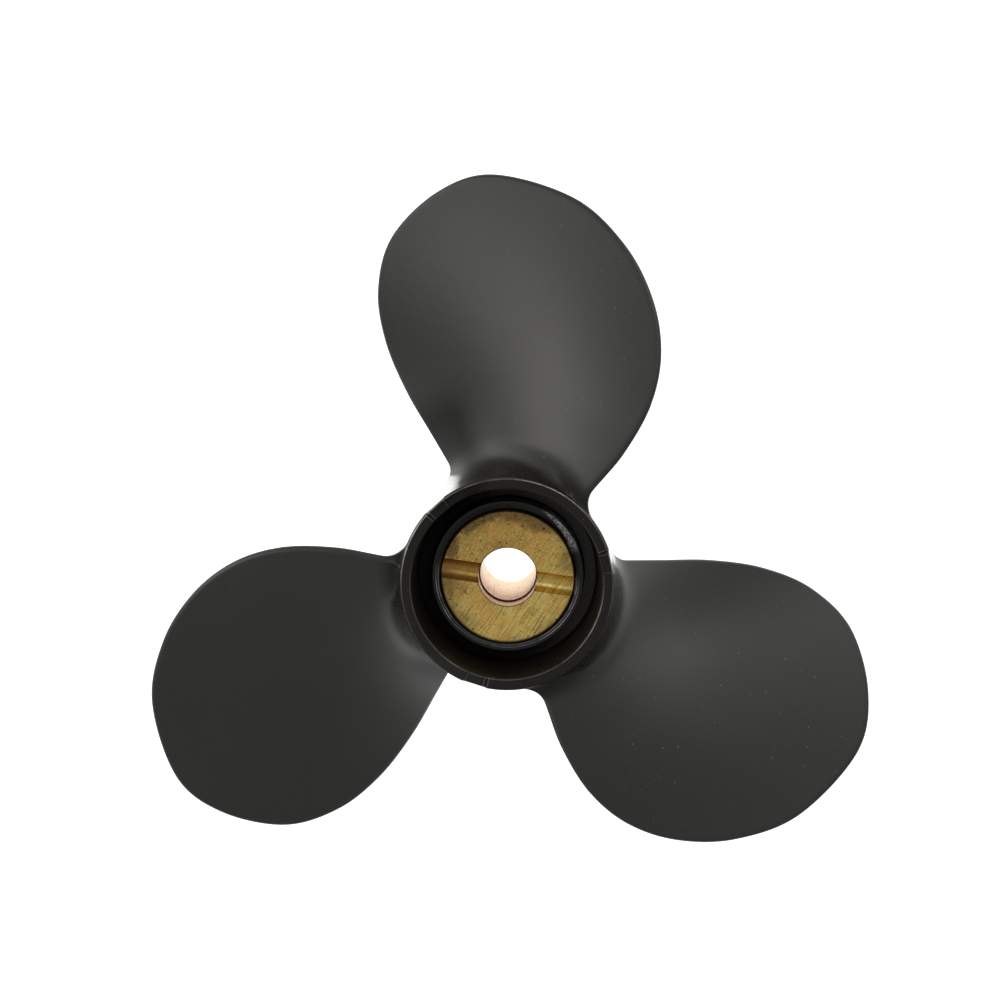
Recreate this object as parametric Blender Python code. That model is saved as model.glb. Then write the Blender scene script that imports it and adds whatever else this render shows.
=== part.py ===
"""Three-bladed propeller of a small outboard engine.

One painted aluminium casting carries a rubber damper, and the damper carries a brass bush
with a half-round slot for the drive pin. The shaft axis is Z and the front end, which faces
the gearcase, is up. Heights are measured from where a blade's helix crosses its reference
line, and the whole part is then lifted so that the origin lies at its centre of mass.
"""
import math

import bmesh
import bpy
from mathutils import Matrix, Vector

MM = 0.001
GAP = 0.3 * MM  # clearance between pieces that touch
LIFT = 8.3 * MM  # height of the blades' reference lines over the centre of mass

# Blades: 7.5 inch across, 7 inch of pitch, left-handed as in the picture
BLADES = 3
TIP_RADIUS = 95.25 * MM
PITCH = 178 * MM
HELIX_RISE = -PITCH / math.tau  # height for each radian, anticlockwise seen from the front
BLADE_LINE = math.radians(90)  # direction of the first blade's reference line
EDGE_RADIUS = 0.8 * MM
ROOT_THICKNESS = 6.6 * MM
TIP_THICKNESS = 1.9 * MM
THICKNESS_TAPER = 1.3  # above 1, so most of the thickness goes near the hub
THICK_BAND = 26 * MM  # distance from the edge over which a section reaches its full thickness
ROOT_HALF_ANGLE = math.radians(36.5)  # half the angle that a blade spans near the hub
FRONT_SHARE = 0.75  # part of the thickness that lies on the front side of the helix
LEADING_FILLET = 4.8 * MM
TRAILING_FILLET = 3.6 * MM
FILLET_END = 0.9  # share of the fillet's arc that is kept before it would lie flat on the hub
ROOT_FACED_OFF = 1.2 * MM  # how far the blade roots stay behind the rim's front face
LEAST_FILLET = 1 * MM  # where the front face of a blade runs close to the rim

# Edge of one blade as radius in mm and angle in degrees from its reference line,
# from the leading root over the tip to the trailing root
BLADE_EDGE = (
    (6, -33.9),
    (17, -33.9),
    (32, -33.9),
    (42, -33.3),
    (54, -30.5),
    (65, -25.6),
    (74.85, -19.0),
    (83.85, -11.0),
    (91.3, -1.6),
    (95.25, 10.4),
    (92.4, 18.9),
    (84.6, 27.7),
    (74, 33.6),
    (62, 37.2),
    (49, 39.0),
    (36, 39.1),
    (17, 39.1),
    (6, 39.1),
)
EDGE_SAMPLES = 12  # points on each stretch of the edge curve
ROOT_ROWS = (-3, -0.6, 0.3, 1.2, 2.6, 4.6, 7.5, 12.5, 20, 31)  # distances outside the hub in mm
BENT_ROWS_END = 8 * MM  # root rows run round the hub up to here, and straighten outside it
FAN_SPOKES = 34  # the outer half of a blade fans out from the middle of the last root row
EDGE_ROWS = (0, 0.15, 0.45, 0.8)  # distances from the edge in mm
FACE_ROWS = (0.2, 0.5, 1)  # shares of the way from the edge to the middle

# Hub
HUB_FRONT = 18.2 * MM
HUB_REAR = -34 * MM
HUB_FRONT_RADIUS = 25.4 * MM
HUB_REAR_RADIUS = 24.7 * MM
RIM_ROUNDING = 0.7 * MM
REAR_ROUNDING = 1.2 * MM
RECESS_MOUTH_RADIUS = 22.6 * MM
RECESS_FLOOR_RADIUS = 21.4 * MM
RECESS_FLOOR = -4 * MM
RECESS_COVE = 2 * MM
DAMPER_BORE_RADIUS = 18.4 * MM
REAR_LIP = 4 * MM
REAR_LIP_RADIUS = 16.4 * MM

# Three lands on the rim, where the dies of the casting met
LAND_ANGLE = math.radians(50.5)  # from a blade's reference line to the middle of its land
LAND_WIDTH = 5.7 * MM
LAND_DEPTH = 0.12 * MM
LAND_LENGTH = 12 * MM

# Rubber damper
DAMPER_FRONT = 4.5 * MM
DAMPER_RADIUS = DAMPER_BORE_RADIUS - GAP
DAMPER_LIP_WIDTH = 1.1 * MM  # from the bush to the crest of the lip
DAMPER_LIP_STEP = 0.25 * MM
DAMPER_LIP_FALL = 0.9 * MM  # the lip slopes down outwards from its crest
DAMPER_ROUNDING = 0.5 * MM

# Brass bush
BUSH_FRONT = 6.2 * MM
BUSH_REAR = -32.2 * MM
BUSH_HEAD_RADIUS = 15.8 * MM
BUSH_HEAD_LENGTH = 12 * MM
BUSH_BARREL_RADIUS = 12 * MM
BUSH_CHAMFER = 0.3 * MM
SHAFT_BORE_RADIUS = 6.7 * MM
BORE_MOUTH_RADIUS = 7 * MM
BORE_MOUTH_DEPTH = 7.4 * MM
PIN_SLOT_RADIUS = 2.4 * MM

# Fineness of the round shapes
CASTING_SIDES = 72
BUSH_SIDES = 64
SLOT_SIDES = 24
ROUNDING_STEPS = 3
COVE_STEPS = 4
SHARP_ANGLE = math.radians(35)  # edges sharper than this keep a crease

CUT_MARGIN = 2 * MM  # how far a cutter runs past the face it cuts
WELD_DISTANCE = 0.001 * MM
SMALL_ANGLE = 1e-6


def clear_scene():
    for scene_object in list(bpy.data.objects):
        bpy.data.objects.remove(scene_object, do_unlink=True)


def material(name, colour, roughness, metallic):
    finish = bpy.data.materials.new(name)
    finish.use_nodes = True
    shader = finish.node_tree.nodes["Principled BSDF"]
    shader.inputs["Base Color"].default_value = (*colour, 1)
    shader.inputs["Roughness"].default_value = roughness
    shader.inputs["Metallic"].default_value = metallic
    finish.diffuse_color = (*colour, 1)
    return finish


def add_object(name, work_mesh, finish=None):
    """Weld a bmesh, point its faces outwards and put it into the scene at its real height."""
    bmesh.ops.remove_doubles(work_mesh, verts=work_mesh.verts, dist=WELD_DISTANCE)
    bmesh.ops.dissolve_degenerate(work_mesh, edges=work_mesh.edges, dist=WELD_DISTANCE)
    bmesh.ops.recalc_face_normals(work_mesh, faces=work_mesh.faces)
    mesh = bpy.data.meshes.new(name)
    work_mesh.to_mesh(mesh)
    work_mesh.free()
    mesh.shade_smooth()
    mesh.set_sharp_from_angle(angle=SHARP_ANGLE)
    if finish:
        mesh.materials.append(finish)
    new_object = bpy.data.objects.new(name, mesh)
    new_object.location.z = LIFT
    bpy.context.scene.collection.objects.link(new_object)
    return new_object


def arc(centre, radius, start, end, steps=ROUNDING_STEPS):
    """Points of a rounding in the (radius, height) plane, angles in degrees."""
    points = []
    for i in range(steps + 1):
        angle = math.radians(start + (end - start) * i / steps)
        points.append((centre[0] + radius * math.cos(angle), centre[1] + radius * math.sin(angle)))
    return points


def turned(name, profile, sides, closed, finish=None):
    """Spin a (radius, height) profile about the shaft axis."""
    work_mesh = bmesh.new()
    points = [work_mesh.verts.new((radius, 0, height)) for radius, height in profile]
    edges = [work_mesh.edges.new(pair) for pair in zip(points, points[1:])]
    if closed:
        edges.append(work_mesh.edges.new((points[-1], points[0])))
    bmesh.ops.spin(
        work_mesh,
        geom=points + edges,
        cent=(0, 0, 0),
        axis=(0, 0, 1),
        angle=math.tau,
        steps=sides,
        use_merge=True,
    )
    return add_object(name, work_mesh, finish)


def make_cutter(cutter):
    cutter.hide_render = True
    cutter.display_type = "WIRE"
    return cutter


def add_boolean(target, tools, operation):
    """Join all the tools to the target, or cut them all from it, in one step."""
    group = bpy.data.collections.new(f"{target.name}_{operation.lower()}")
    for tool in tools:
        group.objects.link(tool)
    modifier = target.modifiers.new(group.name, "BOOLEAN")
    modifier.operation = operation
    modifier.solver = "EXACT"
    modifier.operand_type = "COLLECTION"
    modifier.collection = group


def hub_radius(height):
    """The hub tapers evenly from its front rim to its rear end."""
    share = (height - HUB_REAR) / (HUB_FRONT - HUB_REAR)
    return HUB_REAR_RADIUS + (HUB_FRONT_RADIUS - HUB_REAR_RADIUS) * share


def hub_profile():
    rim = HUB_FRONT - RIM_ROUNDING
    tail = HUB_REAR + REAR_ROUNDING
    return (
        [(0, HUB_FRONT)]
        + arc((hub_radius(rim) - RIM_ROUNDING, rim), RIM_ROUNDING, 90, 0)
        + arc((hub_radius(tail) - REAR_ROUNDING, tail), REAR_ROUNDING, 0, -90)
        + [(0, HUB_REAR)]
    )


def cavity_profile():
    """Front recess, bore of the damper and the opening in the rear lip, as one turned cutter."""
    above = HUB_FRONT + CUT_MARGIN
    below = HUB_REAR - CUT_MARGIN
    lip_top = HUB_REAR + REAR_LIP
    mouth = RECESS_MOUTH_RADIUS + RIM_ROUNDING
    cove = (RECESS_FLOOR_RADIUS - RECESS_COVE, RECESS_FLOOR + RECESS_COVE)
    return (
        [(0, above), (mouth, above)]
        + arc((mouth, HUB_FRONT - RIM_ROUNDING), RIM_ROUNDING, 90, 180)
        + arc(cove, RECESS_COVE, 0, -90, COVE_STEPS)
        + [
            (DAMPER_BORE_RADIUS, RECESS_FLOOR),
            (DAMPER_BORE_RADIUS, lip_top),
            (REAR_LIP_RADIUS, lip_top),
            (REAR_LIP_RADIUS, below),
            (0, below),
        ]
    )


def polar(radius, angle):
    return Vector((radius * math.cos(angle), radius * math.sin(angle)))


def distance_from_shaft(flat_point):
    return flat_point.length


def direction(flat_point):
    return math.atan2(flat_point.y, flat_point.x)


def hub_clearance(flat_point):
    """How far a point of the blade's helix lies outside the hub."""
    return flat_point.length - hub_radius(HELIX_RISE * direction(flat_point))


def edge_curve():
    """The blade's edge as a smooth curve through its points, in the plane across the shaft."""
    points = [polar(radius * MM, math.radians(angle)) for radius, angle in BLADE_EDGE]
    curve = []
    for before, start, end, after in zip(points, points[1:], points[2:], points[3:]):
        pull_start = (end - before) / 2
        pull_end = (after - start) / 2
        for i in range(EDGE_SAMPLES):
            t = i / EDGE_SAMPLES
            curve.append(
                start * (2 * t**3 - 3 * t**2 + 1)
                + pull_start * (t**3 - 2 * t**2 + t)
                + end * (3 * t**2 - 2 * t**3)
                + pull_end * (t**3 - t**2)
            )
    curve.append(points[-2])
    return curve


EDGE = edge_curve()
TIP_INDEX = max(range(len(EDGE)), key=lambda i: EDGE[i].length)
LEADING_EDGE = EDGE[: TIP_INDEX + 1]
TRAILING_EDGE = EDGE[TIP_INDEX:]


def where_it_reaches(line, measure, goal):
    """The point of a line where a measure of its points reaches the goal, or comes nearest."""
    for first, second in zip(line, line[1:]):
        start, end = measure(first), measure(second)
        if min(start, end) <= goal <= max(start, end):
            return first.lerp(second, (goal - start) / (end - start))
    return min(line, key=lambda point: abs(measure(point) - goal))


def edge_distance(point):
    """Distance from a point of the blade to its edge."""
    nearest = math.inf
    for start, end in zip(EDGE, EDGE[1:]):
        run = end - start
        share = min(1, max(0, (point - start).dot(run) / run.length_squared))
        nearest = min(nearest, (start + run * share - point).length)
    return nearest


def fillet_growth(clearance, fillet):
    """How far a root fillet stands off the blade at this distance outside the hub.

    Near the hub the arc is left for its tangent, so that it meets the hub at a clear angle.
    """
    reach = max(0, fillet - clearance)
    on_arc = min(reach, FILLET_END * fillet)
    drop = math.sqrt(fillet**2 - on_arc**2)
    return min(fillet, fillet - drop + (reach - on_arc) * on_arc / drop)


def skin_swell(radius, distance):
    """How far the skin rises past the round edge, as a mean of the front and rear faces.

    Near the hub a blade is narrower than two bands, and the rise ends on its middle line.
    """
    outward = (radius - HUB_FRONT_RADIUS) / (TIP_RADIUS - HUB_FRONT_RADIUS)
    taper = max(0, 1 - outward) ** THICKNESS_TAPER
    full = TIP_THICKNESS + (ROOT_THICKNESS - TIP_THICKNESS) * taper
    band = min(THICK_BAND, radius * math.sin(ROOT_HALF_ANGLE))
    rise = 1 - (1 - min(1, distance / band)) ** 2
    return (full / 2 - EDGE_RADIUS) * rise


def blade_point(flat_point, side):
    """Carry a point of the flat outline onto the front (+1) or rear (-1) face of the blade."""
    radius = flat_point.length
    angle = direction(flat_point)
    lead = direction(where_it_reaches(LEADING_EDGE, distance_from_shaft, radius))
    trail = direction(where_it_reaches(TRAILING_EDGE, distance_from_shaft, radius))
    chord_share = (angle - lead) / max(trail - lead, SMALL_ANGLE)
    fillet = LEADING_FILLET + (TRAILING_FILLET - LEADING_FILLET) * min(1, max(0, chord_share))
    edge_growth = fillet_growth(hub_clearance(flat_point), fillet)

    slope = math.hypot(radius, HELIX_RISE)
    sine, cosine = math.sin(angle), math.cos(angle)
    along_chord = Vector((-radius * sine, radius * cosine, HELIX_RISE)) / slope
    normal = Vector((HELIX_RISE * sine, -HELIX_RISE * cosine, radius)) / slope
    outward = along_chord if chord_share > 0.5 else -along_chord

    # a round edge: the skin starts square to the chord and turns onto the face
    distance = edge_distance(flat_point)
    inset = EDGE_RADIUS - min(distance, EDGE_RADIUS)
    rise = math.sqrt(EDGE_RADIUS**2 - inset**2) if distance > WELD_DISTANCE else 0
    share = 2 * FRONT_SHARE if side > 0 else 2 * (1 - FRONT_SHARE)
    skin = rise + skin_swell(radius, distance) * share
    spot = Vector((radius * cosine, radius * sine, HELIX_RISE * angle))

    # the front fillet shrinks towards the leading edge, where the rim leaves it little room
    room = HUB_FRONT - ROOT_FACED_OFF - spot.z - normal.z * skin
    if side > 0:
        fillet = min(fillet, max(LEAST_FILLET, room / normal.z))
    face_growth = fillet_growth(hub_clearance(flat_point), fillet)
    spot += normal * side * (skin + face_growth * rise / EDGE_RADIUS)
    return spot + outward * edge_growth * inset / EDGE_RADIUS


def spoke_steps(length):
    """Shares of the way from the blade's edge to its middle, close together at the edge."""
    return [row * MM / length for row in EDGE_ROWS] + list(FACE_ROWS)


def straight_spoke(edge, middle):
    return [edge.lerp(middle, step) for step in spoke_steps((middle - edge).length)]


def root_spoke(clearance, edge, middle_angle):
    """A spoke that bends round the hub near it and straightens further out."""
    edge_angle = direction(edge)
    sweep = middle_angle - edge_angle
    steps = spoke_steps(edge.length * abs(sweep))
    bent = []
    for step in steps:
        angle = edge_angle + sweep * step
        bent.append(polar(hub_radius(HELIX_RISE * angle) + clearance, angle))
    straight = [bent[0].lerp(bent[-1], step) for step in steps]
    straightness = (clearance - BENT_ROWS_END) / (ROOT_ROWS[-1] * MM - BENT_ROWS_END)
    return [a.lerp(b, min(1, max(0, straightness))) for a, b in zip(bent, straight)]


def blade_spokes():
    """Spokes in order from the trailing root round the tip to the leading root."""
    trailing, leading = [], []
    for row in ROOT_ROWS:
        clearance = row * MM
        trail = where_it_reaches(TRAILING_EDGE, hub_clearance, clearance)
        lead = where_it_reaches(LEADING_EDGE, hub_clearance, clearance)
        middle_angle = (direction(lead) + direction(trail)) / 2
        trailing.append(root_spoke(clearance, trail, middle_angle))
        leading.append(root_spoke(clearance, lead, middle_angle))
    centre = trailing[-1][-1]
    outer = outer_edge(trailing[-1][0], leading[-1][0])
    fan = [straight_spoke(edge, centre) for edge in outer[1:-1]]
    return trailing + fan + leading[::-1]


def outer_edge(start, end):
    """Evenly spaced points on the edge, from the trailing side round the tip to the leading side."""
    outside = [point for point in reversed(EDGE) if hub_clearance(point) > ROOT_ROWS[-1] * MM]
    line = [start] + outside + [end]
    lengths = [0]
    for first, second in zip(line, line[1:]):
        lengths.append(lengths[-1] + (second - first).length)
    points = []
    step = 0
    for i in range(FAN_SPOKES + 1):
        goal = lengths[-1] * i / FAN_SPOKES
        while step < len(line) - 2 and lengths[step + 1] < goal:
            step += 1
        share = (goal - lengths[step]) / (lengths[step + 1] - lengths[step])
        points.append(line[step].lerp(line[step + 1], share))
    return points


def face_off(work_mesh):
    """Cut the blade root flat, a little behind the rim."""
    everything = work_mesh.verts[:] + work_mesh.edges[:] + work_mesh.faces[:]
    cut = bmesh.ops.bisect_plane(
        work_mesh,
        geom=everything,
        dist=WELD_DISTANCE,
        plane_co=(0, 0, HUB_FRONT - ROOT_FACED_OFF),
        plane_no=(0, 0, 1),
        clear_outer=True,
    )
    rim = [item for item in cut["geom_cut"] if isinstance(item, bmesh.types.BMEdge)]
    bmesh.ops.contextual_create(work_mesh, geom=rim)


def make_blade(number):
    work_mesh = bmesh.new()
    spokes = blade_spokes()
    turn = Matrix.Rotation(BLADE_LINE + math.tau * number / BLADES, 4, "Z")
    sides = {}
    for side in (1, -1):
        sides[side] = [
            [work_mesh.verts.new(turn @ blade_point(point, side)) for point in one] for one in spokes
        ]
        for first, second in zip(sides[side], sides[side][1:]):
            for i in range(len(first) - 1):
                work_mesh.faces.new((first[i], second[i], second[i + 1], first[i + 1]))
    front, back = sides[1], sides[-1]
    for end in (0, -1):
        for i in range(len(front[end]) - 1):
            corners = (front[end][i], front[end][i + 1], back[end][i + 1], back[end][i])
            work_mesh.faces.new(corners)
    bmesh.ops.remove_doubles(work_mesh, verts=work_mesh.verts, dist=WELD_DISTANCE)
    face_off(work_mesh)
    return make_cutter(add_object(f"blade_{number + 1}", work_mesh))


def make_land_cutter(number):
    """A flat tool that lowers the rim's outside and its front face by a hair."""
    angle = BLADE_LINE + LAND_ANGLE + math.tau * number / BLADES
    turn = Matrix.Rotation(angle, 4, "Z")
    top, bottom = HUB_FRONT - LAND_DEPTH / 2, HUB_FRONT - LAND_LENGTH
    chord_depth = HUB_FRONT_RADIUS * (1 - math.cos(LAND_WIDTH / 2 / HUB_FRONT_RADIUS)) + LAND_DEPTH
    outline = (
        (RECESS_MOUTH_RADIUS - CUT_MARGIN, top),
        (hub_radius(top) - chord_depth, top),
        (hub_radius(bottom) - chord_depth, bottom),
        (HUB_FRONT_RADIUS + CUT_MARGIN, bottom),
        (HUB_FRONT_RADIUS + CUT_MARGIN, HUB_FRONT + CUT_MARGIN),
        (RECESS_MOUTH_RADIUS - CUT_MARGIN, HUB_FRONT + CUT_MARGIN),
    )
    work_mesh = bmesh.new()
    near = [work_mesh.verts.new(turn @ Vector((r, -LAND_WIDTH / 2, z))) for r, z in outline]
    start = work_mesh.faces.new(near)
    extruded = bmesh.ops.extrude_face_region(work_mesh, geom=[start])
    moved = [item for item in extruded["geom"] if isinstance(item, bmesh.types.BMVert)]
    bmesh.ops.translate(work_mesh, verts=moved, vec=turn @ Vector((0, LAND_WIDTH, 0)))
    return make_cutter(add_object(f"land_cutter_{number + 1}", work_mesh))


def make_casting():
    paint = material("satin_black_paint", (0.035, 0.034, 0.032), 0.42, 0.0)
    casting = turned("propeller_casting", hub_profile(), CASTING_SIDES, False, paint)
    add_boolean(casting, [make_blade(number) for number in range(BLADES)], "UNION")
    cavity = make_cutter(turned("cavity_cutter", cavity_profile(), CASTING_SIDES, False))
    lands = [make_land_cutter(number) for number in range(BLADES)]
    add_boolean(casting, [cavity] + lands, "DIFFERENCE")


def make_damper():
    rubber = material("black_rubber", (0.02, 0.02, 0.02), 0.55, 0.0)
    head_hole = BUSH_HEAD_RADIUS + GAP
    crest = head_hole + DAMPER_LIP_WIDTH
    lip_foot = DAMPER_FRONT - 2 * DAMPER_LIP_STEP
    corner = (DAMPER_RADIUS - DAMPER_ROUNDING, DAMPER_FRONT - DAMPER_LIP_FALL - DAMPER_ROUNDING)
    barrel_hole = BUSH_BARREL_RADIUS + GAP
    shoulder = BUSH_FRONT - BUSH_HEAD_LENGTH - GAP
    rear = HUB_REAR + REAR_LIP + GAP
    profile = arc(corner, DAMPER_ROUNDING, 60, 0) + [
        (DAMPER_RADIUS, rear),
        (barrel_hole, rear),
        (barrel_hole, shoulder),
        (head_hole, shoulder),
        (head_hole, lip_foot - DAMPER_LIP_STEP),
        (head_hole + DAMPER_LIP_STEP, lip_foot),
        (head_hole + DAMPER_LIP_WIDTH / 2, lip_foot),
        (head_hole + DAMPER_LIP_WIDTH / 2 + DAMPER_LIP_STEP, DAMPER_FRONT - DAMPER_LIP_STEP),
        (crest - DAMPER_LIP_STEP, DAMPER_FRONT - DAMPER_LIP_STEP),
        (crest, DAMPER_FRONT),
    ]
    turned("rubber_damper", profile, BUSH_SIDES, True, rubber)


def make_bush():
    brass = material("worn_brass", (0.55, 0.40, 0.17), 0.38, 1.0)
    head_rear = BUSH_FRONT - BUSH_HEAD_LENGTH
    mouth_floor = BUSH_FRONT - BORE_MOUTH_DEPTH
    profile = [
        (BUSH_HEAD_RADIUS - BUSH_CHAMFER, BUSH_FRONT),
        (BUSH_HEAD_RADIUS, BUSH_FRONT - BUSH_CHAMFER),
        (BUSH_HEAD_RADIUS, head_rear),
        (BUSH_BARREL_RADIUS, head_rear),
        (BUSH_BARREL_RADIUS, BUSH_REAR + BUSH_CHAMFER),
        (BUSH_BARREL_RADIUS - BUSH_CHAMFER, BUSH_REAR),
        (SHAFT_BORE_RADIUS + BUSH_CHAMFER, BUSH_REAR),
        (SHAFT_BORE_RADIUS, BUSH_REAR + BUSH_CHAMFER),
        (SHAFT_BORE_RADIUS, mouth_floor),
        (BORE_MOUTH_RADIUS, mouth_floor),
        (BORE_MOUTH_RADIUS, BUSH_FRONT),
    ]
    bush = turned("brass_bush", profile, BUSH_SIDES, True, brass)
    work_mesh = bmesh.new()
    along_slot = Matrix.Translation((0, 0, BUSH_FRONT)) @ Matrix.Rotation(math.radians(90), 4, "Y")
    bmesh.ops.create_cone(
        work_mesh,
        cap_ends=True,
        segments=SLOT_SIDES,
        radius1=PIN_SLOT_RADIUS,
        radius2=PIN_SLOT_RADIUS,
        depth=2 * (BUSH_HEAD_RADIUS + CUT_MARGIN),
        matrix=along_slot,
    )
    add_boolean(bush, [make_cutter(add_object("pin_slot_cutter", work_mesh))], "DIFFERENCE")


clear_scene()
make_casting()
make_damper()
make_bush()
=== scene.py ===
"""Looks of a small three-bladed outboard propeller, front end up on a pale floor.

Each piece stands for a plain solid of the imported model. It keeps that solid's dimensions and
adds finer roundings and its finish: satin black paint, black rubber or worn brass.
Lengths are in metres, Z is the shaft axis and the first blade points along +Y. Heights in the
constants are measured from the blades' reference lines. The "picture" frame of the camera and
the lights is the model's frame turned about Z until it lines up with the photograph.
"""

import math
from collections import namedtuple

import bmesh
import bpy
from mathutils import Matrix, Vector


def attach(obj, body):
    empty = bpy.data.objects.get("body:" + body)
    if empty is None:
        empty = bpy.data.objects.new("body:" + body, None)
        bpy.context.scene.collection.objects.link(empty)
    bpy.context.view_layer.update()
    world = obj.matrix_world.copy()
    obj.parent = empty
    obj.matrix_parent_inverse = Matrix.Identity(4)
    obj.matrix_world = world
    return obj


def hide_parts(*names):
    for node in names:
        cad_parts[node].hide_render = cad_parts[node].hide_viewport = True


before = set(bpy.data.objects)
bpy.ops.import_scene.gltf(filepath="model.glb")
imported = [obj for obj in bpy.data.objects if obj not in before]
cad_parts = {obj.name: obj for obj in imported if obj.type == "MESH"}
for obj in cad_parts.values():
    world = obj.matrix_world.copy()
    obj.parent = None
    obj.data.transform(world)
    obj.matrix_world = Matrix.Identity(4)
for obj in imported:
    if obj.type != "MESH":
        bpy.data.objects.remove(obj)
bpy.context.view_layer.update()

MM = 0.001
GAP = 0.3 * MM
LIFT = 8.3 * MM  # height of the blades' reference lines in the model's frame

# Blades
BLADES = 3
TIP_RADIUS = 95.25 * MM
PITCH = 178 * MM
HELIX_RISE = -PITCH / math.tau
BLADE_LINE = math.radians(90)
EDGE_RADIUS = 0.8 * MM
ROOT_THICKNESS = 6.6 * MM
TIP_THICKNESS = 1.9 * MM
THICKNESS_TAPER = 1.3
THICK_BAND = 26 * MM
ROOT_HALF_ANGLE = math.radians(36.5)
FRONT_SHARE = 0.75
LEADING_FILLET = 4.8 * MM
TRAILING_FILLET = 3.6 * MM
FACE_FILLET = 8 * MM
FACE_FILLET_RISE = 1.5  # its height as a multiple of its width
LEAST_FILLET = 1 * MM
ROOT_TOP = 17.3 * MM  # the blade roots stay softly below this height
ROOT_TOP_SOFTNESS = 1.2 * MM
BLADE_EDGE = (  # radius in millimetres and degrees past the blade's line
    (6, -33.9),
    (17, -33.9),
    (32, -33.9),
    (42, -33.3),
    (54, -30.5),
    (65, -25.6),
    (74.85, -19.0),
    (83.85, -11.0),
    (91.3, -1.6),
    (95.25, 10.4),
    (92.4, 18.9),
    (84.6, 27.7),
    (74, 33.6),
    (62, 37.2),
    (49, 39.0),
    (36, 39.1),
    (17, 39.1),
    (6, 39.1),
)
EDGE_SAMPLES = 24
ROOT_ROWS = (  # millimetres outside the hub; the first row lies inside it
    -1.5, 0.003, 0.03, 0.09, 0.19, 0.33, 0.52, 0.77, 1.1, 1.5, 2, 2.6, 3.3, 4.1, 5,
    6, 7.1, 8.3, 9.7, 11.3, 13, 15, 17.2, 19.6, 22.2, 25, 28, 31,
)
BENT_ROWS_END = 8 * MM
FAN_SPOKES = 150
EDGE_STEPS = 8  # rows round the edge on each side
FACE_ROWS = 15  # rows from the edge to the middle
FACE_SPREAD = 1.35  # the power that draws these rows towards the edge
GRID_PER_METRE = 1e7  # points of the pattern that share a cell of this grid are one
MEASURES = ("side", "edge_distance", "chord_share")  # kept at each point of the pattern

# Hub
HUB_FRONT = 18.2 * MM
HUB_REAR = -34 * MM
HUB_FRONT_RADIUS = 25.4 * MM
HUB_REAR_RADIUS = 24.7 * MM
RIM_ROUNDING = 0.7 * MM
MOUTH_ROUNDING = 0.45 * MM
REAR_ROUNDING = 1.2 * MM
RECESS_MOUTH_RADIUS = 22.6 * MM
RECESS_FLOOR_RADIUS = 21.4 * MM
RECESS_FLOOR = -4 * MM
RECESS_COVE = 0.6 * MM
DAMPER_BORE_RADIUS = 18.4 * MM
REAR_LIP = 4 * MM
REAR_LIP_RADIUS = 16.4 * MM
LAND_ANGLE = math.radians(50.5)
LAND_WIDTH = 5.7 * MM
LAND_DEPTH = 0.12 * MM
LAND_LENGTH = 12 * MM
LAND_STEP = math.radians(0.1)  # width of the step at each end of a land
LAND_MOUTH_SHARPNESS = 0.2  # the recess's mouth is rounded only this much on a land
LAND_HALF = math.asin(LAND_WIDTH / 2 / HUB_FRONT_RADIUS)
LAND_MIDDLES = [BLADE_LINE + LAND_ANGLE + math.tau * i / BLADES for i in range(BLADES)]
GROOVE_EDGES = tuple(math.radians(a) for a in (-0.5, -0.2, 0.2, 0.5))
GROOVE_DEPTH = 0.22 * MM
GROOVE_PAIR = math.radians(2.4)  # between the two fine grooves at the far end of a land
GROOVE_OFFSETS = (-LAND_HALF, LAND_HALF, LAND_HALF - GROOVE_PAIR)

# Damper and bush
DAMPER_FRONT = 4.5 * MM
DAMPER_RADIUS = DAMPER_BORE_RADIUS - GAP
DAMPER_LIP_WIDTH = 1.1 * MM  # from the hole to the outer lip's crest
DAMPER_LIP_STEP = 0.25 * MM  # the inner lip is this much lower than the outer one
DAMPER_LIP_CURVE = 1.2 * MM
DAMPER_LIP_SPAN = 24  # degrees of that curve on the inner slope of each lip
DAMPER_FLAT = 0.12 * MM  # from the outer lip down to the flat ring outside it
DAMPER_LIP_FALL = 0.9 * MM
DAMPER_ROUNDING = 0.2 * MM
BUSH_FRONT = 6.2 * MM
BUSH_REAR = -32.2 * MM
BUSH_HEAD_RADIUS = 15.8 * MM
BUSH_HEAD_LENGTH = 12 * MM
BUSH_BARREL_RADIUS = 12 * MM
BUSH_CHAMFER = 0.3 * MM
SHAFT_BORE_RADIUS = 6.7 * MM
BORE_MOUTH_RADIUS = 7 * MM
BORE_MOUTH_DEPTH = 7.4 * MM
BORE_MOUTH_BREAK = 0.12 * MM
MOUTH_FLOOR = BUSH_FRONT - BORE_MOUTH_DEPTH
PIN_SLOT_RADIUS = 2.4 * MM

# Fineness
HUB_SIDES = 288
RING_SIDES = 256
SLOT_SIDES = 96
ROUNDING_STEPS = 7
CHAMFER_STEPS = 4
MOUTH_BREAK_STEPS = 3
HOLD = 0.05 * MM  # short strips beside a rounding keep the shading of the flats plain
LONG_STRETCH = 6 * HOLD
SHARP_ANGLE = math.radians(32)
WELD_DISTANCE = 0.0005 * MM
SMALL_ANGLE = 1e-6

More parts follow.
